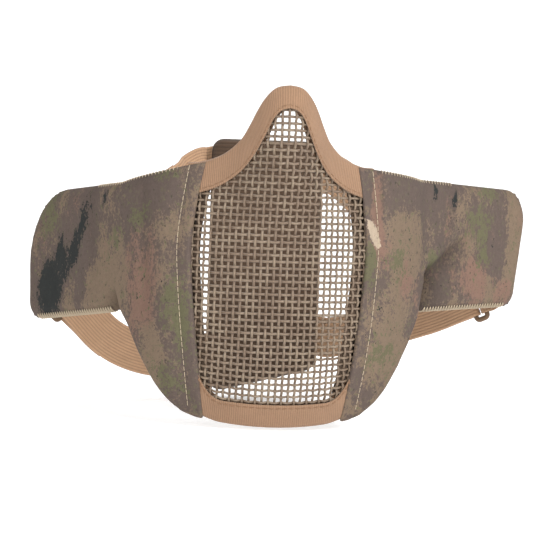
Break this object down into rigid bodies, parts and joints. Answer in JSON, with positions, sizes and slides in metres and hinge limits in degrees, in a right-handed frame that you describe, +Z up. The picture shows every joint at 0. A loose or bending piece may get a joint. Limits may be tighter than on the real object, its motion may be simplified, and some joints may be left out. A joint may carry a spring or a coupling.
{
  "type": "half face mask",
  "caption": "Lower-face mask: formed wire mesh over nose and mouth, padded camouflage cheeks with folding wings, elastic harness and nape pad.",
  "frame": {"origin": "midway between the two wing fold axes, level with the middle of the wings, inside the mask where the cheeks are", "axes": "+X to the wearer's left, -Y the way the wearer faces (out through the mesh), +Z up"},
  "size_m": [0.2403, 0.1737, 0.1512],
  "materials": {
    "camo_fabric": "matte camouflage-printed nylon, fine twill weave",
    "tan_tape": "matte grosgrain tape, cross ribs",
    "steel_mesh": "woven wire, dull tan-grey paint",
    "foam": "open-cell foam padding",
    "lining_fabric": "matte tan knit lining",
    "webbing": "matte woven webbing",
    "ribbed_elastic": "matte elastic with lengthwise ribs",
    "plastic_hardware": "moulded plastic, satin",
    "pad_fabric": "matte brown knit with fine cross ribs"
  },
  "bodies": {
    "face_shell": {"face_mesh": "steel_mesh", "nose_tape": "tan_tape", "chin_tape": "tan_tape", "cheek_cover_left": "camo_fabric", "cheek_foam_left": "foam", "cheek_lining_left": "lining_fabric", "cheek_cover_right": "camo_fabric", "cheek_foam_right": "foam", "cheek_lining_right": "lining_fabric", "strap_loop_upper_left": "ribbed_elastic", "strap_loop_lower_left": "ribbed_elastic", "strap_loop_upper_right": "ribbed_elastic", "strap_loop_lower_right": "ribbed_elastic", "strap_elastic_upper_left": "ribbed_elastic", "strap_elastic_lower_left": "ribbed_elastic", "strap_elastic_upper_right": "ribbed_elastic", "strap_elastic_lower_right": "ribbed_elastic"},
    "wing_left": {"wing_cover_left": "camo_fabric", "wing_foam_left": "foam", "wing_lining_left": "lining_fabric", "ring_tab_upper_left": "webbing", "ring_tab_lower_left": "webbing", "strap_ring_upper_left": "plastic_hardware", "strap_ring_lower_left": "plastic_hardware"},
    "wing_right": {"wing_cover_right": "camo_fabric", "wing_foam_right": "foam", "wing_lining_right": "lining_fabric", "ring_tab_upper_right": "webbing", "ring_tab_lower_right": "webbing", "strap_ring_upper_right": "plastic_hardware", "strap_ring_lower_right": "plastic_hardware"},
    "nape_pad": {"nape_pad_lining": "lining_fabric", "nape_pad_foam": "foam", "nape_pad_cover": "pad_fabric"}
  },
  "joints": [
    {"name": "wing_left_fold", "type": "hinge", "parent": "face_shell", "child": "wing_left", "pos_m": [0.07005, 0, 0], "axis": [0, 0, 1], "range_deg": [-12, 20], "stiffness_Nm_per_rad": 0.06, "deforming": ["strap_loop_upper_left", "strap_loop_lower_left"]},
    {"name": "wing_right_fold", "type": "hinge", "parent": "face_shell", "child": "wing_right", "pos_m": [-0.07005, 0, 0], "axis": [0, 0, -1], "range_deg": [-12, 20], "stiffness_Nm_per_rad": 0.06, "deforming": ["strap_loop_upper_right", "strap_loop_lower_right"]},
    {"name": "nape_pad_stretch", "type": "slide", "parent": "face_shell", "child": "nape_pad", "axis": [0, 1, 0], "range_m": [0, 0.02], "stiffness_N_per_m": 80, "deforming": ["strap_elastic_upper_left", "strap_elastic_lower_left", "strap_elastic_upper_right", "strap_elastic_lower_right"]}
  ]
}
